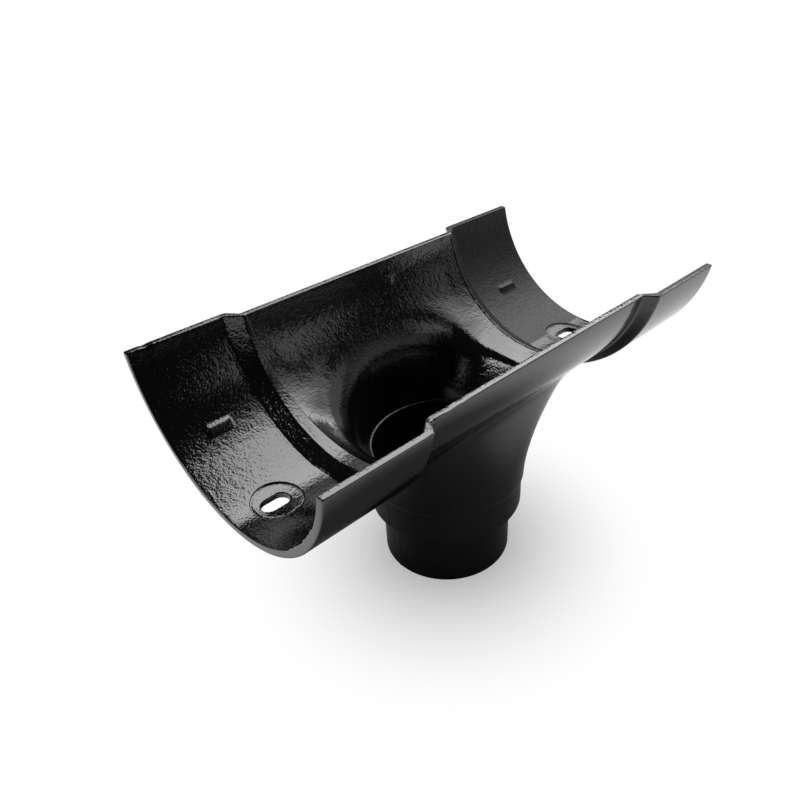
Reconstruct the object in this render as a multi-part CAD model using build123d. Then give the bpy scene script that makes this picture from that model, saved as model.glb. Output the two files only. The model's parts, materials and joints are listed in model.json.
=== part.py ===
# Half-round gutter outlet, cast in one piece: a trough with a socket at each end and a hopper down to a spigot.
# Origin: centre of the spigot's end face. +Z runs up the outlet, +X along the gutter. Millimetres.
import os
from math import cos, pi, sin, sqrt

from build123d import *

# Casting
wall = 3.1
overall_length = 224.0
drop = 83.0                     # from the underside of the trough to the spigot's end

# Trough between the sockets, measured outside
trough_width = 116.0
trough_depth = 50.0

# Sockets: each takes a gutter end of the trough's own section
socket_side_clearance = 2.4     # beside the gutter end at the rim
socket_sole_clearance = 0.25    # under the gutter end
shoulder_spacing = 132.0        # between the middles of the two inner shoulders
inner_shoulder_run = 6.6
outer_shoulder_run = 4.0
outer_shoulder_inset = 1.1      # the outer shoulder's middle lies this much nearer the outlet
shoulder_rounding = 0.9

# Sump: the trough floor around the hopper lies a little lower than the bands beside the shoulders
sump_length = 118.0
sump_relief = 0.4

# Hopper, outside: grows from a ring above the collar to a wide mouth under the trough
hopper_foot_radius = 38.0
hopper_mouth_length = 104.0     # along the gutter, at the trough's underside
hopper_mouth_width = 80.0       # across the gutter, at the trough's underside
hopper_flare = 2.1              # 1 is straight ends, more sweeps outwards later
hopper_squareness = 2.5         # 2 is an ellipse, more is squarer
hopper_blend = 5.0              # radius between the hopper and the trough's underside

# Hopper, inside: grows from the lip of the bore
lip_radius = 35.4
lip_height = 62.0               # above the spigot's end
lip_ledge = 0.3                 # how far the lip stands in from the hopper's wall
mouth_length = 101.0            # along the gutter, at the trough's floor
mouth_width = 75.4              # across the gutter, at the trough's floor
mouth_flare = 1.15
mouth_squareness = 2.1
mouth_rounding = 8.0            # radius of the mouth's edge

# Collar and spigot
collar_radius = 37.0
collar_height = 16.0
collar_edge_rounding = 0.8
spigot_radius = 31.5
spigot_length = 30.0
spigot_edge_rounding = 0.6

# Bolt slots, one in the sole of each socket, each in a round spot face
slot_spacing = 187.0
slot_length = 12.4
slot_width = 7.6
spot_face_spacing = 185.0
spot_face_radius = 10.5
spot_face_depth = 0.3           # below the socket's lowest line

# Nibs: a short ledge on each side wall of each socket
nib_spacing = 181.6
nib_length = 11.0
nib_below_rim = 34.2
nib_height = 2.8
nib_ledge = 1.8

# Edges of the socket ends
end_rounding = 0.6

# How far cutting tools reach past the faces that they leave
past = 2.0


def arc_radius(width, depth):
    """Radius of the circular arc that is so wide at the rim and so deep below it."""
    return ((width / 2) ** 2 + depth ** 2) / (2 * depth)


# Worked out from the sizes above; heights are above the spigot's end
sole_height = drop
rim_height = drop + trough_depth
trough_radius = arc_radius(trough_width, trough_depth)
trough_centre = sole_height + trough_radius
inner_trough_radius = trough_radius - wall
bore_radius = spigot_radius - wall
collar_bore_radius = collar_radius - wall
collar_top = spigot_length + collar_height

seat_width = trough_width + 2 * socket_side_clearance
seat_depth = trough_depth + socket_sole_clearance
seat_radius = arc_radius(seat_width, seat_depth)
seat_centre = rim_height - seat_depth + seat_radius
seat_floor = seat_centre - seat_radius

half_length = overall_length / 2
inner_middle = shoulder_spacing / 2
inner_shoulder = inner_middle - inner_shoulder_run / 2, inner_middle + inner_shoulder_run / 2
outer_middle = shoulder_spacing / 2 - outer_shoulder_inset
outer_shoulder = outer_middle - outer_shoulder_run / 2, outer_middle + outer_shoulder_run / 2


def section(x, radius, centre, top):
    """Face across the gutter at x: the part of a circle about the given centre height that lies below top."""
    half_width = sqrt(radius ** 2 - (centre - top) ** 2)
    plane = Plane(origin=(x, 0, 0), x_dir=(0, 1, 0), z_dir=(1, 0, 0))
    arc = ThreePointArc((-half_width, top), (0, centre - radius), (half_width, top))
    return plane * make_face(arc + Line((half_width, top), (-half_width, top)))


def trough_form(trough, seat, shoulder, reach, top):
    """Solid of the trough with both sockets; trough and seat are (radius, centre height) pairs."""
    stations = [(-reach, seat), (-shoulder[1], seat), (-shoulder[0], trough),
                (shoulder[0], trough), (shoulder[1], seat), (reach, seat)]
    form = loft([section(x, radius, centre, top) for x, (radius, centre) in stations], ruled=True)
    arcs = form.edges().filter_by(lambda edge: edge.bounding_box().size.X < 0.001 and edge.center().Z < top)
    shoulders = arcs.filter_by(lambda edge: abs(edge.center().X) < reach - 0.001)
    return fillet(shoulders.filter_by(GeomType.LINE, reverse=True), shoulder_rounding)


def squared_ring(half_length_x, half_length_y, squareness, height, points=16):
    """Face bounded by a superellipse at the given height."""
    ring = []
    for i in range(points):
        angle = 2 * pi * i / points
        reach = (abs(cos(angle) / half_length_x) ** squareness
                 + abs(sin(angle) / half_length_y) ** squareness) ** (-1 / squareness)
        ring.append((reach * cos(angle), reach * sin(angle), height))
    return make_face(Spline(*ring, periodic=True))


def hopper_form(foot, mouth, shape, top, levels=5):
    """Solid that grows from a round foot to a long mouth, and goes on growing up to top.

    foot is (radius, height), mouth is (length, width, height) and shape is (flare, squareness).
    """
    rings = []
    for i in range(levels):
        height = foot[1] + (top - foot[1]) * i / (levels - 1)
        rise = (height - foot[1]) / (mouth[2] - foot[1])
        rings.append(squared_ring(foot[0] + (mouth[0] / 2 - foot[0]) * rise ** shape[0],
                                  foot[0] + (mouth[1] / 2 - foot[0]) * rise,
                                  2 + (shape[1] - 2) * rise ** 2, height))
    return loft(rings)


def level_of_side(radius, foot, mouth):
    """Height at which the hopper's straight side, from foot to mouth, meets an arc about the trough's centre."""
    slope = (mouth[1] / 2 - foot[0]) / (mouth[2] - foot[1])
    reach = foot[0] + slope * (trough_centre - foot[1])
    root = sqrt(radius ** 2 * (1 + slope ** 2) - reach ** 2)
    return trough_centre - (reach * slope + root) / (1 + slope ** 2)


def blended(trough, hopper, radius):
    """Both solids in one, with the line where the hopper leaves the trough rounded."""
    joined = trough + hopper
    crossing = new_edges(trough, hopper, combined=joined)
    return fillet(crossing, radius)


def upright(radius, bottom, top):
    """Upright cylinder on the outlet's axis."""
    return Pos(0, 0, (bottom + top) / 2) * Cylinder(radius, top - bottom)


def outside_form():
    """The casting's outside as a solid block: trough, sockets, hopper, collar and spigot."""
    trough = trough_form((trough_radius, trough_centre), (seat_radius + wall, seat_centre),
                         outer_shoulder, half_length, rim_height)
    foot = hopper_foot_radius, collar_top
    mouth = hopper_mouth_length, hopper_mouth_width, sole_height
    hopper = hopper_form(foot, mouth, (hopper_flare, hopper_squareness),
                         level_of_side(trough_radius, foot, mouth) + past)
    collar = upright(collar_radius, spigot_length, collar_top)
    collar = fillet(collar.edges().group_by(Axis.Z)[0], collar_edge_rounding)
    spigot = upright(spigot_radius, 0, spigot_length)
    spigot = fillet(spigot.edges().group_by(Axis.Z)[0], spigot_edge_rounding)
    return blended(trough, hopper, hopper_blend) + collar + spigot


def sump_form():
    """The lower stretch of trough floor around the hopper, as a solid block."""
    sump_width = 2 * sqrt(inner_trough_radius ** 2 - (trough_centre - rim_height) ** 2)
    sump_depth = trough_depth - wall + sump_relief
    sump_radius = arc_radius(sump_width, sump_depth)
    end = section(-sump_length / 2, sump_radius, rim_height - sump_depth + sump_radius, rim_height)
    return extrude(end, sump_length)


def bore_form():
    """The round way from the lip down through the collar and the spigot, as a solid block."""
    step = spigot_length + wall
    profile = Polyline((0, -past), (bore_radius, -past), (bore_radius, step),
                       (collar_bore_radius, step + collar_bore_radius - bore_radius),
                       (lip_radius, lip_height), (0, lip_height), close=True)
    return revolve(Plane.XZ * make_face(profile), Axis.Z)


def inside_form():
    """The casting's inside as a solid block: everything that the open top and the bore leave free."""
    trough = trough_form((inner_trough_radius, trough_centre), (seat_radius, seat_centre),
                         inner_shoulder, half_length + past, rim_height + past)
    foot = lip_radius + lip_ledge, lip_height
    mouth = mouth_length, mouth_width, sole_height + wall
    hopper = hopper_form(foot, mouth, (mouth_flare, mouth_squareness),
                         level_of_side(inner_trough_radius, foot, mouth) + past)
    return blended(trough + sump_form(), hopper, mouth_rounding) + bore_form()


def bolt_slot(side):
    """Cutter for one bolt slot and its spot face; side is -1 or 1."""
    seat = Pos(side * spot_face_spacing / 2, 0, 0) * upright(spot_face_radius, seat_floor - spot_face_depth,
                                                            seat_floor + wall)
    slot = extrude(SlotOverall(slot_length, slot_width), wall + 2 * past)
    return seat + Pos(side * slot_spacing / 2, 0, seat_floor - wall - past) * slot


def nib(side, flank):
    """Ledge on one side wall of one socket: flat on top, with a front that drops to the wall."""
    top = rim_height - nib_below_rim
    bottom = top - nib_height
    wall_at_top = sqrt(seat_radius ** 2 - (seat_centre - top) ** 2)
    wall_at_bottom = sqrt(seat_radius ** 2 - (seat_centre - bottom) ** 2)
    profile = Polyline((wall_at_top - nib_ledge, top), (wall_at_top + wall / 2, top),
                       (wall_at_bottom + wall / 2, bottom), (wall_at_bottom, bottom), close=True)
    start = Plane(origin=(side * nib_spacing / 2, 0, 0), x_dir=(0, flank, 0), z_dir=(flank, 0, 0))
    return extrude(start * make_face(profile), nib_length / 2, both=True)


def gutter_outlet():
    casting = outside_form() - inside_form()
    ends = casting.faces().filter_by(lambda face: abs(face.center().X) > half_length - 0.001)
    casting = fillet(ends.edges(), end_rounding)
    for side in (-1, 1):
        casting -= bolt_slot(side)
        for flank in (-1, 1):
            casting += nib(side, flank)
    return casting


os.makedirs("parts", exist_ok=True)
export_step(gutter_outlet(), "parts/gutter_outlet.step")
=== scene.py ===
import json
from math import cos, pi, radians, sin

import bmesh
import bpy
import numpy as np
from mathutils import Matrix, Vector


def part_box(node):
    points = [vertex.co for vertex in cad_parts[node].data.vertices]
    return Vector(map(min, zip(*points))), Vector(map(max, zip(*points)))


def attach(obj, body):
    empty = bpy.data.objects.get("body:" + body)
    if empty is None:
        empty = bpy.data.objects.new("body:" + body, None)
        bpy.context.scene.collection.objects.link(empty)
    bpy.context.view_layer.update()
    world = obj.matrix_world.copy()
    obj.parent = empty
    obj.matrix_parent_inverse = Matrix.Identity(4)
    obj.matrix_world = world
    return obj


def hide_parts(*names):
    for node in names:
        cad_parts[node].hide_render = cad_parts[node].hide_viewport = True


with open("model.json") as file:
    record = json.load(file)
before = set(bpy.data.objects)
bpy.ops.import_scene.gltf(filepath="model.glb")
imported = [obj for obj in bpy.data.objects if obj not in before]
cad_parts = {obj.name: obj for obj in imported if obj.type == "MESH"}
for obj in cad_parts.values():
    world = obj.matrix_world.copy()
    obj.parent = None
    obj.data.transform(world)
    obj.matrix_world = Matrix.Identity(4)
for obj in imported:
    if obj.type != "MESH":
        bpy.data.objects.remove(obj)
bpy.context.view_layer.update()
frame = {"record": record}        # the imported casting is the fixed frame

mounts = {mount["name"]: mount for mount in frame["record"]["mounts"]}
millimetre = 0.001       # lengths below are in millimetres, and meshes are written in metres

# The frame gives the overall box, the spigot, its bore and the bolt slots
boxHigh = np.array(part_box("gutter_outlet")[1]) / millimetre
halfLength = boxHigh[0]
rimHeight = boxHigh[2]
spigotRadius = mounts["spigot"]["dims"]["r_mm"]
spigotLength = mounts["spigot"]["dims"]["length_mm"]
boreRadius = mounts["outlet_bore"]["dims"]["r_mm"]
boreLength = mounts["outlet_bore"]["dims"]["length_mm"]
slotSpacing = mounts["bolt_slots"]["dims"]["spacing_x_mm"]
slotWidth = 2 * mounts["bolt_slots"]["dims"]["hole_r_mm"]
slotLength = mounts["bolt_slots"]["dims"]["slot_length_mm"]

# Every place on the trough's wall has an x along the gutter, 0 at the outlet, and an s across it: -1 at the
# near rim, 0 at the sole and 1 at the far rim. Lengths are in millimetres.
trough = {
    "wall": 3.1,
    "width": 116.0,              # outside, between the sockets
    "depth": 50.0,
    "sideClearance": 2.4,        # socket beside a gutter end, at the rim
    "soleClearance": 0.25,       # and under it
    "innerShoulder": (62.7, 69.3),
    "outerShoulder": (62.9, 66.9),
    "shoulderSoft": 0.55,        # half width of a shoulder's rounded corners
    "edgeRadius": 0.6,           # rims and socket ends
    "halfArc": 80.0,             # rim to sole along the wall, as the edges' rounding counts it
}

# Sump: the floor around the hopper, which steps down at its edge and then sags towards the hopper
sump = {
    "edgeAtRim": 61.3,           # distance of its edge from the outlet
    "edgeAtSole": 56.3,          # the same at the left end's sole; the right end's edge is straight
    "edgePower": 1.5,            # power of s by which its edge nears that place at the left sole
    "edgeHalfWidth": 0.35,
    "stepAtSole": 0.45,
    "stepAtRim": 0.15,
    "rightFade": 0.7,            # share of the step that is missing at the right end
    "endsBlend": 40.0,           # run over which the left end's form turns into the right end's
    "slopeAtSole": (0.56, 0.22),     # how steeply the sag starts, at the left and at the right end
    "slopeAtSide": 0.10,
    "reach": (9.0, 60.0),        # how soon it levels out, at the sides and at the sole
    "most": (1.7, 9.0),          # and how deep it goes at most
    "soleBand": (0.45, 0.2),     # s between which the sides' sag turns into the sole's
    "rimFade": 0.4,              # share of the way down from the rim over which the sag sets in
}

# Ragged groove along the foot of the right shoulder; its waves are (height, rate, start)
groove = {"depth": 0.9, "halfWidth": 0.4, "rimFade": 0.05,
          "waves": ((0.35, 61, 0), (0.3, 143, 1), (0.25, 29, 2))}

# Hopper, inside and outside: radius where it starts, its mouth in the trough, and how widely it blends in
hopperInside = {"footRadius": 35.7, "footHeight": 62.0, "mouthLength": 101.0, "mouthWidth": 75.4,
                "mouthHeight": 86.1, "flare": 1.15, "squareness": 2.1, "sideFlare": 4.3,
                "softness": 22.0, "ringsAbove": 15, "ringsBelow": 30}
hopperOutside = {"footRadius": 38.0, "footHeight": 46.6, "mouthLength": 104.0, "mouthWidth": 80.0,
                 "mouthHeight": 83.0, "flare": 2.1, "squareness": 2.5, "sideFlare": 3.0,
                 "softness": 10.0, "ringsAbove": 14, "ringsBelow": 32}

# Rounding between hopper and trough: how strongly the rings crowd at the crossing, how much of the run to the
# window it may take, how far it fades out in multiples of the softness, and samples on each side of a point.
# The crossing is found in so many rounds for its height, each with so many for its angle on the arc.
blend = {"crowding": 1.35, "mostOfRun": 0.85, "fade": 2.4, "samples": 7, "heightRounds": 40, "angleRounds": 3}

# Collar, spigot and lip
outlet = {
    "collarRadius": 37.0,
    "collarTop": 46.0,
    "collarBoreRadius": 33.9,
    "lipRadius": 34.8,
    "lipHeight": 62.0,
    "lipDrop": (0.05, 0.1),      # how far the lip's outer and inner edge lie below that
    "lipRounding": 0.18,
    "boreRounding": 1.5,
    "endRounding": (0.5, 0.6),   # spigot's end, inside and outside
    "collarRounding": (0.5, 0.8, 0.6),   # foot, lower edge and upper edge
    "topDrop": 0.1,              # its profile ends this far below the hopper's foot
    "seamAngle": 177.0,
    "seamHeight": 0.22,
    "seamHalfWidth": 0.5,        # degrees
    "seamDraw": (24.0, 2.2, 0.55),   # degrees over which bearings move, and are drawn together, and how much
    "seamEnds": (0.2, 0.7),      # how far inside the spigot's side it starts and below the hopper it ends
}

# Nibs and spot faces
nib = {"spacing": 181.6, "length": 11.0, "belowRim": 34.2, "height": 2.8, "ledge": 1.8, "ease": 0.2}
spotFace = {
    "spacing": 185.0,
    "radius": 10.5,
    "depth": 0.3,
    "bend": 0.75,                # share of the socket's own bend that its floor follows
    "lip": (0.3, 0.1, 0.06),     # its edge: where it starts and turns, beyond the radius, and its drop there
    "moat": (0.05, 0.35, 0.8),   # lower ring inside its edge: start, middle and end, short of the radius
    "moatDepth": 0.1,
}
slotEdges = {
    "face": ((0.5, 0.0), (0.22, 0.07), (0.06, 0.24), (0.0, 0.5)),    # beyond the slot, below the spot face
    "under": ((0.0, 0.5), (0.08, 0.2), (0.3, 0.04), (0.6, 0.0)),     # beyond the slot, above the underside
}
# Rings between those edges, as shares of the way: floor to spot face, spot face to slot, through the wall and
# from the slot to the window below
slotRings = {"floor": (0.35, 0.7, 1.0), "face": (0.3, 0.6, 0.85, 1.0), "hole": (0.3, 0.7),
             "under": (0.2, 0.45, 0.7)}

# Flaws: dents are (place along, half length, depth)
flaws = {
    "nearDents": ((-62.5, 1.8, 0.45), (-54.0, 3.0, 0.35), (-47.0, 1.6, 0.3)),
    "farChips": ((-104.0, 1.2, 0.35),),
    "dentFrom": (0.975, 0.995),              # s over which a dent in a rim sets in
    "pimple": (18.0, 69.5, 1.3, 2.0, 0.9),   # place along, degrees up, half length, half height, rise
    "flash": (-64.0, -38.0, 0.9),            # left end's inner edge: first degree, last degree, reach
    "flashEnds": (4.0, 2.0),                 # degrees over which it grows and dies
    "flashRun": (1.2, 0.6),                  # from the end, where it starts and where it is whole
    "flashBreaks": (0.35, 3.1, 1.7),         # how deep its breaks are, and the rates of their two sines
}


def arcRadius(width, depth):
    # radius of the circular arc that is so wide at the rim and so deep below it
    return ((width / 2) ** 2 + depth ** 2) / (2 * depth)


def softRamp(u, start, end, soft):
    # 0 before start, 1 after end and straight between, both corners rounded:
    # two hinges, each a parabola within soft of its corner, subtracted and divided by the run
    def hinge(v):
        return np.where(v < -soft, 0.0, np.where(v > soft, v, (v + soft) ** 2 / (4 * soft)))
    return (hinge(u - start) - hinge(u - end)) / (end - start)


def rise(u, low, high):
    # 0 on low's side and 1 on high's, with level ends: 3t squared less 2t cubed, t the share of the way
    t = np.clip((u - low) / (high - low), 0.0, 1.0)
    return t * t * (3 - 2 * t)


wall = trough["wall"]
bodyRadius = arcRadius(trough["width"], trough["depth"])
bodyCentre = rimHeight - trough["depth"] + bodyRadius
innerRadius = bodyRadius - wall
seatDepth = trough["depth"] + trough["soleClearance"]
seatRadius = arcRadius(trough["width"] + 2 * trough["sideClearance"], seatDepth)
seatCentre = rimHeight - seatDepth + seatRadius
seatFloor = seatCentre - seatRadius
seatRimAngle = np.arccos((seatCentre - rimHeight) / seatRadius)

# Where the grid of the wall is cut open: the hopper's mouth and the slots, along (x) and across (s). The
# hopper's opening moves towards the outlet on the inside of the wall and away from it on the outside.
portX = 58.0
portS = radians(70.0) / seatRimAngle
portInward = 3.3
portOutward = 2.4
slotPortX = (80.5, 104.5)
slotPortS = radians(12.0) / seatRimAngle

# Nib corners as shares of the way from the sole to the rim
nibTop = rimHeight - nib["belowRim"]
nibWallTop = np.sqrt(seatRadius ** 2 - (seatCentre - nibTop) ** 2)
nibFront = np.hypot(nibWallTop - nib["ledge"], seatCentre - nibTop)
nibS = [np.arccos((seatCentre - nibTop + nib["height"]) / seatRadius) / seatRimAngle,
        np.arctan2(nibWallTop - nib["ledge"], seatCentre - nibTop) / seatRimAngle,
        np.arctan2(nibWallTop, seatCentre - nibTop) / seatRimAngle]
nibStart, nibEnd = nib["spacing"] / 2 - nib["length"] / 2, nib["spacing"] / 2 + nib["length"] / 2
nibX = [nibStart - nib["ease"], nibStart + nib["ease"], nibEnd - nib["ease"], nibEnd + nib["ease"]]

# Grid lines that follow the sump's edge and the groove
edgeLines = (60.9, 61.6)
grooveLines = (62.1, 62.6)
edgeLinesOutward = (0.2, 0.1)    # and how far they move away from the outlet on the outside
shoulderEnd = 69.9               # the grid is fine up to here


def sumpEdge(x, s):
    # distance of the sump's edge from the outlet: it curves in at the left end, by 1 less a power of s, but
    # not at the right one
    bend = (sump["edgeAtRim"] - sump["edgeAtSole"]) * (1 - np.abs(s) ** sump["edgePower"])
    return sump["edgeAtRim"] - bend * rise(x, sump["endsBlend"] / 2, -sump["endsBlend"] / 2)


def sumpDepth(x, s):
    # depth of the sump at a real place along the gutter: a step at its edge, deeper at the sole than at the
    # rim, then a sag that starts at a slope, levels out by a falling exponential, is held under its most by a
    # hyperbolic tangent and fades away below the rim
    step = sump["stepAtRim"] + (sump["stepAtSole"] - sump["stepAtRim"]) * (1 - s * s)
    step = step * (1 - sump["rightFade"] * rise(x, 0, sump["endsBlend"]))
    past = np.maximum(sumpEdge(x, s) - np.abs(x), 0)
    low = rise(np.abs(s), *sump["soleBand"])
    left, right = sump["slopeAtSole"]
    atSole = left + (right - left) * rise(x, -sump["endsBlend"] / 2, sump["endsBlend"] / 2)
    slope = sump["slopeAtSide"] + (atSole - sump["slopeAtSide"]) * low
    reach = sump["reach"][0] + (sump["reach"][1] - sump["reach"][0]) * low
    most = sump["most"][0] + (sump["most"][1] - sump["most"][0]) * low
    sag = most * np.tanh(slope * reach * (1 - np.exp(-past / reach)) / most)
    return step + sag * rise(np.abs(s), 1, 1 - sump["rimFade"])


def grooveDepth(x, s):
    # depth of the ragged groove: a bell across it, three waves along it, and nothing at the rims
    ragged = 1 + sum(height * np.sin(rate * s + start) for height, rate, start in groove["waves"])
    bell = np.exp(-((x - grooveLines[0]) / groove["halfWidth"]) ** 2)
    return groove["depth"] * ragged * bell * rise(np.abs(s), 1, 1 - groove["rimFade"])


def nibRise(x, s):
    # how far a nib stands in from the socket's arc: straight lines between its corners, both ways
    across = np.interp(np.abs(s), [0, *nibS, 1], [0, 0, 1, 0, 0])
    along = np.interp(np.abs(x), [0, *nibX], [0, 0, 1, 1, 0])
    return (seatRadius - nibFront) * across * along


def flawRise(x, s):
    # metal that stands proud of the inside: the pimple is a bell both ways, and the flash at the left end is
    # a band whose reach is broken up by the product of two sines
    middle, degree, halfLong, halfHigh, height = flaws["pimple"]
    up = np.degrees(s * seatRimAngle)
    along, across = (x - middle) / halfLong, np.radians(up - degree) * seatRadius / halfHigh
    heap = height * np.exp(-along ** 2 - across ** 2)
    first, last, reach = flaws["flash"]
    breaks, fastRate, slowRate = flaws["flashBreaks"]
    ragged = 1 - breaks + breaks * np.sin(fastRate * up) * np.sin(slowRate * up + 1)
    band = rise(up, first, first + flaws["flashEnds"][0]) * rise(up, last, last - flaws["flashEnds"][1])
    atEnd = rise(-x, halfLength - flaws["flashRun"][0], halfLength - flaws["flashRun"][1])
    return heap + reach * ragged * band * atEnd


def rimWear(x, s):
    # how far the tops of the two rims are worn down: each dent is a bell along the rim
    depth = 0.0 * x
    for dents, rim in ((flaws["nearDents"], s < 0), (flaws["farChips"], s > 0)):
        for middle, half, deep in dents:
            depth = depth + deep * rim * np.exp(-((x - middle) / half) ** 2)
    return depth * rise(np.abs(s), *flaws["dentFrom"])


def warped(x, s, port, lowEdge, highEdge):
    # moves the lines near the sump's edge along the gutter, in straight stretches between four stops
    far = np.abs(x)
    stops = [0.0, portX, *edgeLines, grooveLines[0]]
    places = [0.0 * s, port, lowEdge, highEdge, grooveLines[0] + 0.0 * s]
    moved = far.copy()
    for i in range(len(stops) - 1):
        share = (far - stops[i]) / (stops[i + 1] - stops[i])
        inside = (far >= stops[i]) & (far < stops[i + 1])
        moved = np.where(inside, places[i] + share * (places[i + 1] - places[i]), moved)
    return np.copysign(moved, x)


def arcPoint(x, s, radius, centre, dent=0.0):
    # point of an arc about the line at the centre height, at the share s of its angle at the rim
    angle = s * np.arccos((centre - rimHeight) / radius)
    reach = radius + dent
    return np.stack([x, reach * np.sin(angle), centre - reach * np.cos(angle)], axis=-1)


def innerPoint(x, s):
    # inside of the wall: body arc and socket arc mixed along the shoulder, sump and groove lowered, nibs and
    # flaws raised
    step = softRamp(np.abs(x), *trough["innerShoulder"], trough["shoulderSoft"])
    radius = innerRadius + (seatRadius - innerRadius) * step
    centre = bodyCentre + (seatCentre - bodyCentre) * step
    hold = rise(np.abs(s), 1, portS)
    middle, half = sumpEdge(x, s), sump["edgeHalfWidth"]
    place = warped(x, s, portX - portInward * hold, middle - half, middle + half)
    inSump = 1 - rise(np.abs(x), *edgeLines)
    dent = sumpDepth(place, s) * inSump + grooveDepth(x, s) - nibRise(x, s) - flawRise(x, s)
    return arcPoint(place, s, radius, centre, dent)


def outerPoint(x, s):
    # outside of the wall: body arc and socket arc mixed along the shoulder
    step = softRamp(np.abs(x), *trough["outerShoulder"], trough["shoulderSoft"])
    radius = bodyRadius + (seatRadius + wall - bodyRadius) * step
    centre = bodyCentre + (seatCentre - bodyCentre) * step
    hold = rise(np.abs(s), 1, portS)
    lowEdge, highEdge = (line + outward * hold for line, outward in zip(edgeLines, edgeLinesOutward))
    return arcPoint(warped(x, s, portX + portOutward * hold, lowEdge, highEdge), s, radius, centre)


def wallPoint(x, s, w):
    # the wall as a long box (along, across, and through it from w = 0 inside to 1 outside) with rounded
    # edges: near an edge the point is pulled onto the edge's cylinder or the corner's ball, and then the box
    # is laid into the bent wall
    r, halfArc = trough["edgeRadius"], trough["halfArc"]
    size = np.array([halfLength, halfArc, wall / 2])
    p = np.stack(np.broadcast_arrays(x, s * halfArc, (w - 0.5) * wall), axis=-1).astype(float)
    core = np.clip(p, r - size, size - r)
    off = p - core
    length = np.maximum(np.linalg.norm(off, axis=-1, keepdims=True), 1e-12)
    p = np.where(length > 1e-9, core + off * r / length, p)
    along, across = p[..., 0], p[..., 1] / halfArc
    share = (p[..., 2] / wall + 0.5)[..., None]
    point = innerPoint(along, across) * (1 - share) + outerPoint(along, across) * share
    point[..., 2] -= rimWear(along, across)
    return point


def spread(stretches):
    # grid lines from 0 on: even steps up to each stop in turn, none longer than the pitch of that stretch
    lines, start = [], 0.0
    for stop, pitch in stretches:
        count = max(1, int(np.ceil((stop - start) / pitch - 1e-9)))
        lines.append(np.linspace(start, stop, count, endpoint=False))
        start = stop
    return np.concatenate(lines + [np.array([start])])


def mirrored(half):
    # the same lines on both sides of 0
    return np.concatenate([-half[:0:-1], half])


# Lines of the grid along, across and through the wall; the first two from (stop, pitch of the lines up to it)
edge = trough["edgeRadius"]
edgeShare = edge / trough["halfArc"]
xLines = mirrored(spread([
    (portX, 1.8), (edgeLines[0], 1.0), (edgeLines[1], 0.14), (grooveLines[0], 0.17), (grooveLines[1], 0.17),
    (shoulderEnd, 0.45), (slotPortX[0], 1.4), (nibX[0], 1.4), (nibX[1], 1.0), (nibX[2], 1.4), (nibX[3], 1.0),
    (slotPortX[1], 1.4), (halfLength - edge, 1.4), (halfLength - edge / 2, 1.0), (halfLength, 1.0)]))
sLines = mirrored(spread([
    (slotPortS, 0.019), (nibS[0], 0.019), (nibS[1], 0.02), (nibS[2], 0.02), (portS, 0.02),
    (1 - edgeShare, 0.02), (1 - edgeShare / 2, 1.0), (1.0, 1.0)]))
wLines = np.array([0, edge / 2, edge, wall / 2, wall - edge, wall - edge / 2, wall]) / wall


def near(lines, value):
    # number of the line that is nearest to a value
    return int(np.argmin(np.abs(lines - value)))


# Grid windows (first and last line along, first and last line across) that are cut out
portWindow = (near(xLines, -portX), near(xLines, portX), near(sLines, -portS), near(sLines, portS))
slotWindows = [(near(xLines, a), near(xLines, b), near(sLines, -slotPortS), near(sLines, slotPortS))
               for a, b in ((-slotPortX[1], -slotPortX[0]), slotPortX)]


def gridFaces(rows, columns, windows=()):
    # quads of a rows by columns grid, without the cells inside the windows
    i, j = np.meshgrid(np.arange(rows - 1), np.arange(columns - 1), indexing="ij")
    keep = np.ones(i.shape, bool)
    for i0, i1, j0, j1 in windows:
        keep &= ~((i >= i0) & (i < i1) & (j >= j0) & (j < j1))
    i, j = i[keep], j[keep]
    a = i * columns + j
    return np.stack([a, a + columns, a + columns + 1, a + 1], axis=1)


def wallPatches():
    # the six sides of the wall's box, each a grid over two of its three parameters
    sides = []
    for w in (0.0, 1.0):
        x, s = np.meshgrid(xLines, sLines, indexing="ij")
        sides.append((wallPoint(x, s, np.full(x.shape, w)), gridFaces(*x.shape, [portWindow, *slotWindows])))
    for s in (-1.0, 1.0):
        x, w = np.meshgrid(xLines, wLines, indexing="ij")
        sides.append((wallPoint(x, np.full(x.shape, s), w), gridFaces(*x.shape)))
    for x in (-halfLength, halfLength):
        s, w = np.meshgrid(sLines, wLines, indexing="ij")
        sides.append((wallPoint(np.full(s.shape, x), s, w), gridFaces(*s.shape)))
    return sides


def around(window):
    # the window's edge as x and s values, once round, anticlockwise seen from above
    i0, i1, j0, j1 = window
    i = np.concatenate([np.arange(i0, i1), np.full(j1 - j0, i1), np.arange(i1, i0, -1), np.full(j1 - j0, i0)])
    j = np.concatenate([np.full(i1 - i0, j0), np.arange(j0, j1), np.full(i1 - i0, j1), np.arange(j1, j0, -1)])
    return xLines[i], sLines[j]


def ringFaces(rings, count):
    # quads between rings of equally many points, closed round
    i, j = np.meshgrid(np.arange(rings - 1), np.arange(count), indexing="ij")
    a, b = (i * count + j).ravel(), (i * count + (j + 1) % count).ravel()
    return np.stack([a, b, b + count, a + count], axis=1)


def flareRadius(angle, height, form):
    # reach of the hopper's level ring at an angle: a superellipse that grows from a circle to the mouth, its
    # length by a power of the height, its width evenly and above the mouth with a square on top
    share = np.maximum((height - form["footHeight"]) / (form["mouthHeight"] - form["footHeight"]), 0.0)
    a = form["footRadius"] + (form["mouthLength"] / 2 - form["footRadius"]) * share ** form["flare"]
    b = (form["footRadius"] + (form["mouthWidth"] / 2 - form["footRadius"]) * share
         + form["sideFlare"] * np.maximum(share - 1, 0) ** 2)
    n = 2 + (form["squareness"] - 2) * share ** 2
    return (np.abs(np.cos(angle) / a) ** n + np.abs(np.sin(angle) / b) ** n) ** (-1 / n)


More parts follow.
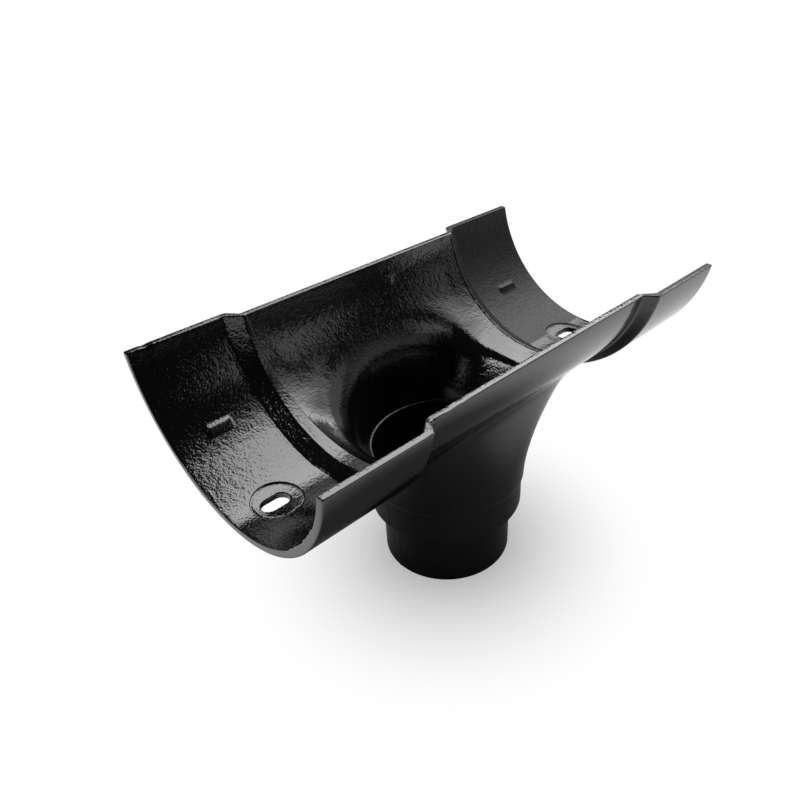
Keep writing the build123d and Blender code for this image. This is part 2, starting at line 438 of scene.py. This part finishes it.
def crossing(bearing, form, radius, depth):
    # where the hopper's wall meets the trough's arc on each bearing: round by round the height moves half the
    # way to the arc's height at the wall's reach. Gives reach, height, angle on the arc and the rim's angle.
    rimAngle = np.arccos((bodyCentre - rimHeight) / radius)
    height = np.full(bearing.shape, form["mouthHeight"])
    for _ in range(blend["heightRounds"]):
        reach = flareRadius(bearing, height, form)
        angle = np.arcsin(np.clip(reach * np.sin(bearing) / radius, -1, 1))
        for _ in range(blend["angleRounds"]):
            dent = depth(reach * np.cos(bearing), angle / rimAngle)
            angle = np.arcsin(np.clip(reach * np.sin(bearing) / (radius + dent), -1, 1))
        height = (height + bodyCentre - (radius + dent) * np.cos(angle)) / 2
    return reach, height, angle, rimAngle


def hopperRings(form, surface, radius, scale, depth):
    # from the open window down the hopper, ring by ring. On each bearing the path runs along the trough to
    # where the hopper's wall crosses it and then down the wall; every point is a weighted mean of the path
    # about it, over a reach that is widest at the crossing and shrinks to nothing, which rounds the corner.
    # scale is how far the window's lines are moved along, and depth gives how much lower the floor is.
    edgeX, edgeS = around(portWindow)
    corner = surface(edgeX, edgeS)
    bearing = np.arctan2(corner[:, 1], corner[:, 0])
    reach, height, angle, rimAngle = crossing(bearing, form, radius, depth)
    crossX = reach * np.cos(bearing) / scale
    crossS = angle / rimAngle
    run = np.hypot((edgeX - crossX) * scale, (edgeS - crossS) * rimAngle * radius)
    drop = height - form["footHeight"]

    above = -(1 - np.linspace(0, 1, form["ringsAbove"], endpoint=False)) ** blend["crowding"]
    below = np.linspace(0, 1, form["ringsBelow"]) ** blend["crowding"]
    share = np.concatenate([above, below])[:, None]
    along = np.where(share < 0, share * run, share * drop)
    soft = np.minimum(form["softness"], run * blend["mostOfRun"])
    fade = np.minimum(np.where(along < 0, run, drop), blend["fade"] * form["softness"])
    half = soft * (1 - np.minimum(np.abs(along) / fade, 1) ** 2) ** 2
    mean = np.zeros(along.shape + (3,))
    total = 0.0
    for t in np.arange(-blend["samples"], blend["samples"] + 1) / (blend["samples"] + 1):
        weight = 1 + np.cos(pi * t)
        u = along + t * half
        back = np.clip(-u / run, 0, 1)
        onTrough = surface(crossX + back * (edgeX - crossX), crossS + back * (edgeS - crossS))
        level = height - np.maximum(u, 0)
        out = flareRadius(bearing, level, form)
        onWall = np.stack(np.broadcast_arrays(out * np.cos(bearing), out * np.sin(bearing), level), axis=-1)
        mean += weight * np.where((u < 0)[..., None], onTrough, onWall)
        total += weight
    return mean / total, bearing


def roundedProfile(corners, pitch=2.2, arcSteps=4):
    # points of a line of (radius, height, rounding) corners, each corner rounded by an arc of its own, and no
    # two points further apart than the pitch
    points = []
    for k, (r, z, rounding) in enumerate(corners):
        here = np.array([r, z])
        if rounding == 0:
            points.append(here)
            continue
        before = np.array(corners[k - 1][:2]) - here
        after = np.array(corners[k + 1][:2]) - here
        before, after = before / np.linalg.norm(before), after / np.linalg.norm(after)
        half = np.arccos(np.clip(before @ after, -1, 1)) / 2
        middle = here + (before + after) / np.linalg.norm(before + after) * rounding / np.sin(half)
        first, last = here + before * rounding / np.tan(half), here + after * rounding / np.tan(half)
        for t in np.linspace(0, 1, arcSteps + 1):
            point = first * (1 - t) + last * t - middle
            points.append(middle + point / np.linalg.norm(point) * rounding)
    full = [points[0]]
    for a, b in zip(points, points[1:]):
        count = max(1, int(np.ceil(np.linalg.norm(b - a) / pitch)))
        full += [a + (b - a) * (i + 1) / count for i in range(count)]
    return np.array(full)


def outletProfile():
    # from the lip down the bore, round the spigot's end, up the spigot and over the collar
    footRounding, lowerRounding, upperRounding = outlet["collarRounding"]
    collarBoreHeight = boreLength + outlet["collarBoreRadius"] - boreRadius
    return roundedProfile([
        (hopperInside["footRadius"], outlet["lipHeight"] - outlet["lipDrop"][0], 0),
        (outlet["lipRadius"], outlet["lipHeight"] - outlet["lipDrop"][1], outlet["lipRounding"]),
        (outlet["collarBoreRadius"], collarBoreHeight, outlet["boreRounding"]),
        (boreRadius, boreLength, outlet["boreRounding"]),
        (boreRadius, 0.0, outlet["endRounding"][0]),
        (spigotRadius, 0.0, outlet["endRounding"][1]),
        (spigotRadius, spigotLength, footRounding),
        (outlet["collarRadius"], spigotLength, lowerRounding),
        (outlet["collarRadius"], outlet["collarTop"], upperRounding),
        (hopperOutside["footRadius"], hopperOutside["footHeight"] - outlet["topDrop"], 0),
    ])


def seamed(angle, radius, strength):
    # the mould's joint: a fine ridge down both ends, a bell over the bearing; bearings near it are drawn
    # together so that it is sharp
    seam = radians(outlet["seamAngle"])
    window, pinch, draw = outlet["seamDraw"]
    for middle, target in ((pi, seam), (0.0, seam - pi)):
        off = np.angle(np.exp(1j * (angle - middle)))
        moved = rise(np.abs(off), radians(window), 0) * (target - middle) * strength
        drawn = off * np.exp(-(off / radians(pinch)) ** 2) * draw * strength
        angle = angle + moved - drawn
        ridge = np.exp(-(off / radians(outlet["seamHalfWidth"])) ** 2)
        radius = radius + strength * outlet["seamHeight"] * ridge
    return angle, radius


def outletPatch():
    # one closed band: window in the floor, hopper, bore, spigot, collar, outside of the hopper, window below
    innerRings, bearing = hopperRings(hopperInside, innerPoint, innerRadius, (portX - portInward) / portX,
                                      sumpDepth)
    outerRings, _ = hopperRings(hopperOutside, outerPoint, bodyRadius, (portX + portOutward) / portX,
                                lambda x, s: 0.0 * s)
    profile = outletProfile()
    radius, height = profile[:, 0][:, None], profile[:, 1][:, None]
    inset, short = outlet["seamEnds"]
    onOutside = (radius > spigotRadius - inset) & (height < hopperOutside["footHeight"] - short)
    angle, reach = seamed(bearing[None, :], radius, onOutside.astype(float))
    level = np.broadcast_to(height, angle.shape)
    tube = np.stack([reach * np.cos(angle), reach * np.sin(angle), level], axis=-1)
    rings = np.concatenate([innerRings, tube[1:-1], outerRings[::-1]])
    return rings.reshape(-1, 3), ringFaces(len(rings), len(bearing))


def slotReach(bearing):
    # reach of the slot's outline from its middle: straight sides, then the round ends
    half, run = slotWidth / 2, (slotLength - slotWidth) / 2
    along, across = np.abs(np.cos(bearing)), np.abs(np.sin(bearing))
    straight = half / np.maximum(across, 1e-9)
    turned = run * along + np.sqrt(np.maximum(half ** 2 - (run * across) ** 2, 0))
    return np.where(straight * along <= run, straight, turned)


def slotPatch(window, side):
    # window in the socket's floor, round spot face, slot through the wall, window below
    middle, slotMiddle = side * spotFace["spacing"] / 2, side * slotSpacing / 2
    top, bottom = innerPoint(*around(window)), outerPoint(*around(window))
    bearing = np.arctan2(top[:, 1], top[:, 0] - middle)
    along, across = np.cos(bearing), np.sin(bearing)
    slot = slotReach(bearing)
    underRadius = seatRadius + wall

    def onArc(x, y, radius, lift=0.0):
        # on the socket's arc, inside or outside, and higher by lift
        return np.stack([x, y, seatCentre - np.sqrt(radius ** 2 - y ** 2) + lift], axis=-1)

    def between(a, b, t, radius):
        # on the arc, part of the way from a to b in plan
        return onArc(a[:, 0] + t * (b[:, 0] - a[:, 0]), a[:, 1] + t * (b[:, 1] - a[:, 1]), radius)

    def sunk(reach, centre, down):
        # on the spot face, a mix of level ground and the socket's own arc, and lower by down
        x, y = centre + reach * along, reach * across
        bend = seatRadius - np.sqrt(seatRadius ** 2 - y ** 2)
        return np.stack([x, y, seatFloor - down + spotFace["bend"] * bend], axis=-1)

    radius, depth = spotFace["radius"], spotFace["depth"]
    wide, turn, drop = spotFace["lip"]
    rim = onArc(middle + (radius + wide) * along, (radius + wide) * across, seatRadius)
    rings = [top] + [between(top, rim, t, seatRadius) for t in slotRings["floor"]]
    rings.append(onArc(middle + (radius + turn) * along, (radius + turn) * across, seatRadius, -drop))
    for inset, down in zip(spotFace["moat"], (spotFace["moatDepth"], spotFace["moatDepth"], 0.0)):
        rings.append(sunk(radius - inset, middle, depth + down))

    flat = radius - spotFace["moat"][-1]
    nearSlot = slot + slotEdges["face"][0][0]
    for t in slotRings["face"]:
        rings.append(sunk(flat * (1 - t) + nearSlot * t, middle * (1 - t) + slotMiddle * t, depth))
    for grow, down in slotEdges["face"][1:]:
        rings.append(sunk(slot + grow, slotMiddle, depth + down))

    below = [onArc(slotMiddle + (slot + grow) * along, (slot + grow) * across, underRadius, up)
             for grow, up in slotEdges["under"]]
    for t in slotRings["hole"]:
        rings.append(rings[-1] * (1 - t) + below[0] * t)
    rings += below + [between(below[-1], bottom, t, underRadius) for t in slotRings["under"]] + [bottom]
    return np.concatenate(rings), ringFaces(len(rings), len(bearing))


def makeMesh(name, patches, weld=2e-6):
    # all patches as one mesh in metres, shared edges welded, faces turned outwards
    offset, points, faces = 0, [], []
    for corner, quads in patches:
        corner = corner.reshape(-1, 3)
        points.append(corner)
        faces.append(quads + offset)
        offset += len(corner)
    points = np.concatenate(points) * millimetre
    faces = np.concatenate(faces)
    used, index = np.unique(faces, return_inverse=True)
    mesh = bpy.data.meshes.new(name)
    mesh.from_pydata(points[used], [], index.reshape(faces.shape))
    work = bmesh.new()
    work.from_mesh(mesh)
    bmesh.ops.remove_doubles(work, verts=work.verts, dist=weld)
    bmesh.ops.dissolve_degenerate(work, edges=work.edges, dist=weld)
    bmesh.ops.recalc_face_normals(work, faces=work.faces)
    openEdges = sum(1 for side in work.edges if not side.is_manifold)
    work.to_mesh(mesh)
    work.free()
    print(name, "faces", len(mesh.polygons), "open edges", openEdges)
    return mesh


# Height of the cast lumps on each part, as a share of the socket's. The bands say where along the gutter each
# part starts and is whole and, where two more are given, where it begins to fade and ends.
lumpiness = {"outside": 0.5, "sump": 1.15, "sumpEdge": 0.7, "shoulder": 1.5, "dull": 0.9}
lumpBands = {"socket": (60.0, 64.0), "shoulder": (61.5, 63.5, 68.5, 70.5),
             "sumpEdge": (52.0, 57.0, 61.0, 63.0), "dull": (62.4, 64.4)}


def markFinish(mesh):
    # two values per vertex: how lumpy the cast face is, and how dull the paint dried there. A face is inside
    # where its normal points to the gutter's middle line or, below the trough, to the outlet's; the change is
    # spread over a quarter of the normal's length either way.
    count = len(mesh.vertices)
    place, normal = np.empty(count * 3), np.empty(count * 3)
    mesh.vertices.foreach_get("co", place)
    mesh.vertices.foreach_get("normal", normal)
    place, normal = place.reshape(-1, 3) / millimetre, normal.reshape(-1, 3)
    x, y, z = place.T
    toGutter = np.stack([0 * x, -y, bodyCentre - z], axis=1)
    toOutlet = np.stack([-x, -y, 0 * z], axis=1)
    towards = np.where((z > rimHeight - trough["depth"])[:, None], toGutter, toOutlet)
    towards /= np.linalg.norm(towards, axis=1, keepdims=True)
    inside = rise((towards * normal).sum(axis=1), -0.25, 0.25)
    far = np.abs(x)

    def within(start, full, last, end):
        return rise(far, start, full) * rise(far, end, last)

    dull = inside * rise(x, *lumpBands["dull"])
    inSocket = rise(far, *lumpBands["socket"])
    lumps = lumpiness["outside"] + inside * (
        lumpiness["sump"] - lumpiness["outside"] + (1 - lumpiness["sump"]) * inSocket
        + lumpiness["shoulder"] * within(*lumpBands["shoulder"])
        + lumpiness["sumpEdge"] * within(*lumpBands["sumpEdge"]) + lumpiness["dull"] * dull)
    for name, values in (("lumps", lumps), ("dull", dull)):
        mesh.attributes.new(name, "FLOAT", "POINT").data.foreach_set("value", values.astype(np.float32))


sharpAngle = 58          # degrees between two faces from which their edge stays sharp
slotPatches = [slotPatch(window, side) for window, side in zip(slotWindows, (-1, 1))]
castingMesh = makeMesh("casting", [*wallPatches(), outletPatch(), *slotPatches])
markFinish(castingMesh)
castingMesh.shade_smooth()
castingMesh.set_sharp_from_angle(angle=radians(sharpAngle))
casting = bpy.data.objects.new("casting", castingMesh)
bpy.context.scene.collection.objects.link(casting)
evened = casting.modifiers.new("even normals", "WEIGHTED_NORMAL")
evened.keep_sharp = True
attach(casting, "root")
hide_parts("gutter_outlet")


# Camera: the photograph's own, found from the casting's edges. Place, sensor and nearest distance are in
# millimetres, angles in degrees, focal length and centre in pixels of a frame so wide.
cameraView = {"place": (-196.74, -199.12, 269.12), "azimuth": -43.08, "elevation": 33.88, "roll": -2.29,
              "focal": 729.4, "centre": (427.3, 406.8), "frame": 800, "sensor": 36, "nearest": 10}


def stand(right, up, back, place):
    # matrix that turns an object's own axes to right, up and back, and moves it to a place in millimetres
    rows = np.column_stack([right, up, back, np.array(place) * millimetre])
    return Matrix([*rows.tolist(), [0, 0, 0, 1]])


def placeCamera():
    # right, up and back axes from the bearing and the height of the line of sight, then the roll about it
    azimuth, elevation, roll = (radians(cameraView[key]) for key in ("azimuth", "elevation", "roll"))
    ahead = np.array([-sin(azimuth) * cos(elevation), cos(azimuth) * cos(elevation), -sin(elevation)])
    right = np.array([cos(azimuth), sin(azimuth), 0.0])
    up = np.cross(right, ahead)
    data = bpy.data.cameras.new("camera")
    camera = bpy.data.objects.new("camera", data)
    turnedRight, turnedUp = cos(roll) * right + sin(roll) * up, cos(roll) * up - sin(roll) * right
    camera.matrix_world = stand(turnedRight, turnedUp, -ahead, cameraView["place"])
    data.sensor_width = cameraView["sensor"]
    data.lens = cameraView["focal"] * cameraView["sensor"] / cameraView["frame"]
    data.shift_x = (cameraView["frame"] / 2 - cameraView["centre"][0]) / cameraView["frame"]
    data.shift_y = (cameraView["centre"][1] - cameraView["frame"] / 2) / cameraView["frame"]
    data.clip_start = cameraView["nearest"] * millimetre
    bpy.context.scene.collection.objects.link(camera)
    bpy.context.scene.camera = camera


placeCamera()
print("camera placed")


class Wire:
    # a node's output that can be added and multiplied, from either side
    def __init__(self, finish, socket):
        self.finish, self.socket = finish, socket

    def math(self, operation, first, second):
        return self.finish.add("Math", {"operation": operation}, (first, second))

    def __add__(self, other):
        return self.math("ADD", self, other)

    def __radd__(self, other):
        return self.math("ADD", other, self)

    def __mul__(self, other):
        return self.math("MULTIPLY", self, other)

    def __rmul__(self, other):
        return self.math("MULTIPLY", other, self)


class Finish:
    # a material or a world under construction
    def __init__(self, owner):
        self.owner = owner
        owner.use_nodes = True
        self.tree = owner.node_tree
        self.tree.nodes.clear()

    def add(self, kind, settings=None, values=(), out=0, **sockets):
        # any node from its type, its settings, and values or wires for its first sockets or for named ones
        node = self.tree.nodes.new("ShaderNode" + kind)
        for key, value in (settings or {}).items():
            setattr(node, key, value)
        for key, value in [*enumerate(values), *sockets.items()]:
            socket = node.inputs[key.replace("_", " ") if isinstance(key, str) else key]
            if isinstance(value, Wire):
                self.tree.links.new(value.socket, socket)
            else:
                socket.default_value = value
        return Wire(self, node.outputs[out]) if node.outputs else None

    def ramp(self, value, low, high, kind="LINEAR"):
        # 0 at low, 1 at high, held beyond
        return self.add("MapRange", {"clamp": True, "interpolation_type": kind}, Value=value,
                        From_Min=low, From_Max=high)

    def mirroredRay(self):
        # 1 for a ray that came off the paint or through glass
        return self.add("LightPath", out="Is Glossy Ray") + self.add("LightPath", out="Is Transmission Ray")

    def close(self, shader):
        # joins the shader to the output, and gives the finished material or world back
        kind = "World" if isinstance(self.owner, bpy.types.World) else "Material"
        self.add("Output" + kind, Surface=shader)
        return self.owner


glossPaint = {
    "colour": (0.003, 0.003, 0.0033, 1),
    "specular": 0.73,
    "roughness": (0.06, 0.11),   # varies between these in patches
    "patchScale": 45.0, "patchRange": (0.3, 0.7),
    "dullRoughness": 0.42,
    "dullSpecular": 0.26,
    "peel": (1050.0, 0.00008, 0.5),  # lumps: noise's scale per metre, height in metres, noise's roughness
    "wave": (380.0, 0.00009, 0.5),
    "grain": (2600.0, 0.000014, 0.6),
}


def paintedIron():
    # black gloss paint over a sand-cast face: the lumps' height is the sum of three noises, times how lumpy
    # the face is, and where the paint dried dull a second, rougher paint takes over
    made = Finish(bpy.data.materials.new("black gloss paint"))
    place = made.add("TexCoord", out="Object")
    lumps = made.add("Attribute", {"attribute_name": "lumps"}, out="Fac")
    dull = made.add("Attribute", {"attribute_name": "dull"}, out="Fac")
    patch = made.add("TexNoise", Vector=place, Scale=glossPaint["patchScale"], Detail=3.0)

    def lumpHeight(scale, height, roughness):
        return made.add("TexNoise", Vector=place, Scale=scale, Detail=1.0, Roughness=roughness) * height

    peel, wave, grain = (lumpHeight(*glossPaint[kind]) for kind in ("peel", "wave", "grain"))
    bump = made.add("Bump", Height=(peel + wave + grain) * lumps, Distance=1.0, Strength=1.0)
    smoothest, roughest = glossPaint["roughness"]
    rough = smoothest + (roughest - smoothest) * made.ramp(patch, *glossPaint["patchRange"])
    glossy, dulled = (made.add("BsdfPrincipled", Base_Color=glossPaint["colour"], Roughness=roughness,
                               Specular_IOR_Level=specular, Normal=bump)
                      for roughness, specular in ((rough, glossPaint["specular"]),
                                                  (glossPaint["dullRoughness"], glossPaint["dullSpecular"])))
    return made.close(made.add("MixShader", values=(dull, glossy, dulled)))


castingMesh.materials.append(paintedIron())
print("paint made")


studio = {
    "floorSize": 24000.0,
    # dark grey paper, shown near the outlet as painted shade round the casting, seen and in the paint's
    # reflections
    "floorColour": (0.17, 0.17, 0.17, 1),
    "floorRoughness": 0.9,
    "whiteSeen": (-40.0, 110.0),     # distances from the outlet over which the floor turns plain white, seen
    "whiteInPaint": (88.0, 185.0),   # and in the paint's reflections
    "worldStrength": 0.02,
    "wallInPaint": 0.6,              # brightness of a painted reflection: a white wall at the back that only the paint's reflections see
    "wallTowards": (-0.5, 0.87),     # direction from the casting to its middle
    "wallSides": (0.4, 0.9),         # share of that direction over which it comes up
    "wallTop": (0.45, 0.1),          # and how high up it fades
}

# Level panels above the casting that face down: (reach along, reach across, brightness)
panelHeight = 1100
panels = {
    "overhead panel": ((230, 1720), (-180, 1140), 5.1),
    "overhead edge": ((330, 1720), (-400, -180), 3.4),
    "overhead margin": ((450, 1720), (-600, -400), 1.7),
    "overhead end": ((600, 1720), (-900, -600), 0.95),
    "rear panel": ((700, 1720), (1550, 2200), 2.5),
    "left panel": ((-1500, -1000), (-100, 1150), 6.0),
}

# Softboxes that face their aim: (bearing, elevation, distance, (width, height), brightness, aim)
softboxes = {
    "right backdrop": (-11, -20, 576, (620, 480), 0.68, (0, 0, 597)),
    "right strip": (-63.5, 27, 560, (90, 260), 1.1, (0, 0, 90)),
}


def addLamp(name, size, brightness, matrix):
    # rectangular lamp; its power follows from how bright its face is and from its area
    data = bpy.data.lights.new(name, "AREA")
    data.shape = "RECTANGLE"
    data.size, data.size_y = size[0] * millimetre, size[1] * millimetre
    data.energy = brightness * pi * data.size * data.size_y
    lamp = bpy.data.objects.new(name, data)
    lamp.matrix_world = matrix
    bpy.context.scene.collection.objects.link(lamp)


def addPanel(name, along, across, brightness):
    # level lamp that shines down, half way between its two ends and its two sides
    middle = (sum(along) / 2, sum(across) / 2, panelHeight)
    size = (along[1] - along[0], across[1] - across[0])
    addLamp(name, size, brightness, stand((1, 0, 0), (0, 1, 0), (0, 0, 1), middle))


def addSoftbox(name, bearing, elevation, distance, size, brightness, aim):
    # back points from the aim to the lamp, by its bearing and its elevation
    turn, lift = radians(bearing), radians(elevation)
    back = np.array([cos(turn) * cos(lift), sin(turn) * cos(lift), sin(lift)])
    right = np.array([-sin(turn), cos(turn), 0.0])
    middle = np.array(aim) + back * distance
    addLamp(name, size, brightness, stand(right, np.cross(back, right), back, middle))


# floor of dark grey paper that turns plain white away from the outlet: near the outlet the paper is painted
# shade, to the camera and in the paint's reflections, over the lamps' real shadow
def makeFloor():
    # pale floor that keeps the shadow near the outlet and turns plain white away from it
    side = studio["floorSize"] / 2 * millimetre
    corners = [(-side, -side, 0), (side, -side, 0), (side, side, 0), (-side, side, 0)]
    mesh = bpy.data.meshes.new("floor")
    mesh.from_pydata(corners, [], [(0, 1, 2, 3)])
    floor = bpy.data.objects.new("floor", mesh)
    bpy.context.scene.collection.objects.link(floor)
    made = Finish(bpy.data.materials.new("pale floor"))
    place = made.add("TexCoord", out="Object")
    away = made.add("VectorMath", {"operation": "LENGTH"}, out="Value", Vector=place)

    def beyond(reach):
        return made.ramp(away, reach[0] * millimetre, reach[1] * millimetre, "SMOOTHSTEP")

    seen = beyond(studio["whiteSeen"]) * made.add("LightPath", out="Is Camera Ray")
    inPaint = beyond(studio["whiteInPaint"]) * made.mirroredRay()
    # the paper's dark grey near the outlet is painted shade, over the real shadow of the lamps
    paper = made.add("BsdfPrincipled", Base_Color=studio["floorColour"], Roughness=studio["floorRoughness"])
    white = made.add("Emission", Strength=1.0)
    mesh.materials.append(made.close(made.add("MixShader", values=(seen + inPaint, paper, white))))


def makeRoom():
    # plain white to the camera; in the paint, a painted reflection of a low white wall at the back of a dark
    # room, which only mirrored rays see
    sky = Finish(bpy.data.worlds.new("studio"))
    towards = sky.add("TexCoord")
    x, y, z = (sky.add("SeparateXYZ", out=axis, Vector=towards) for axis in "XYZ")
    share = x * studio["wallTowards"][0] + y * studio["wallTowards"][1]
    paintedReflection = sky.ramp(share, *studio["wallSides"]) * sky.ramp(z, *studio["wallTop"]) * studio["wallInPaint"]
    seen = sky.add("LightPath", out="Is Camera Ray")
    strength = studio["worldStrength"] + seen + paintedReflection * sky.mirroredRay()
    bpy.context.scene.world = sky.close(sky.add("Background", Color=(1, 1, 1, 1), Strength=strength))


makeFloor()
makeRoom()
for name, values in panels.items():
    addPanel(name, *values)
for name, values in softboxes.items():
    addSoftbox(name, *values)
bpy.context.scene.view_settings.view_transform = "Standard"
print("studio lit")
